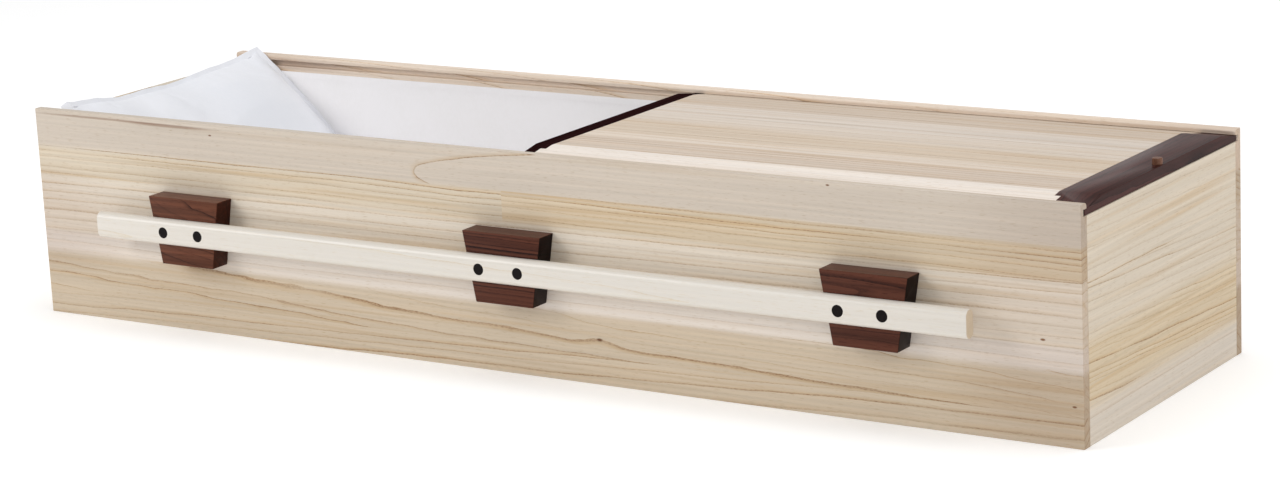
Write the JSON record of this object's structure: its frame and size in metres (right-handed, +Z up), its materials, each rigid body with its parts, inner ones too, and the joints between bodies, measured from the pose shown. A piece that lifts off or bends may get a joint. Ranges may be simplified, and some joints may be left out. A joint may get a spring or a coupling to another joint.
{
  "type": "wooden coffin",
  "caption": "Plain rectangular coffin of pale boards with a sliding half lid, dark cross battens, carrying rails on dark blocks, a white lining and a pillow.",
  "frame": {"origin": "centre of the underside, on the floor", "axes": "+X from head to foot along the length, +Y to the back, +Z up"},
  "size_m": [2, 0.669, 0.3779],
  "materials": {
    "pale_board": "pale glued-up boards, sanded, with a thin matt oil",
    "dark_wood": "dark brown oiled wood with a satin sheen",
    "cream_rail": "cream close-grained wood, sanded smooth",
    "black_plug": "near-black end grain, flush and polished",
    "lining_cloth": "plain white woven cotton",
    "pillow_cloth": "plain white cotton with a turned seam"
  },
  "bodies": {
    "box": {"side_front": "pale_board", "side_back": "pale_board", "end_head": "pale_board", "end_foot": "pale_board", "bottom": "pale_board", "handle_block_front_1": "dark_wood", "handle_block_front_2": "dark_wood", "handle_block_front_3": "dark_wood", "handle_block_back_1": "dark_wood", "handle_block_back_2": "dark_wood", "handle_block_back_3": "dark_wood", "handle_rail_front": "cream_rail", "handle_rail_back": "cream_rail", "handle_plug_front_1": "black_plug", "handle_plug_front_2": "black_plug", "handle_plug_front_3": "black_plug", "handle_plug_front_4": "black_plug", "handle_plug_front_5": "black_plug", "handle_plug_front_6": "black_plug", "handle_plug_back_1": "black_plug", "handle_plug_back_2": "black_plug", "handle_plug_back_3": "black_plug", "handle_plug_back_4": "black_plug", "handle_plug_back_5": "black_plug", "handle_plug_back_6": "black_plug", "lining": "lining_cloth", "pillow": "pillow_cloth"},
    "lid": {"lid_panel": "pale_board", "lid_batten_middle": "dark_wood", "lid_batten_foot": "dark_wood", "lid_peg": "dark_wood"}
  },
  "joints": [
    {"name": "lid_slide", "type": "slide", "parent": "box", "child": "lid", "axis": [1, 0, 0], "range_m": [-0.78, 0.93]}
  ]
}
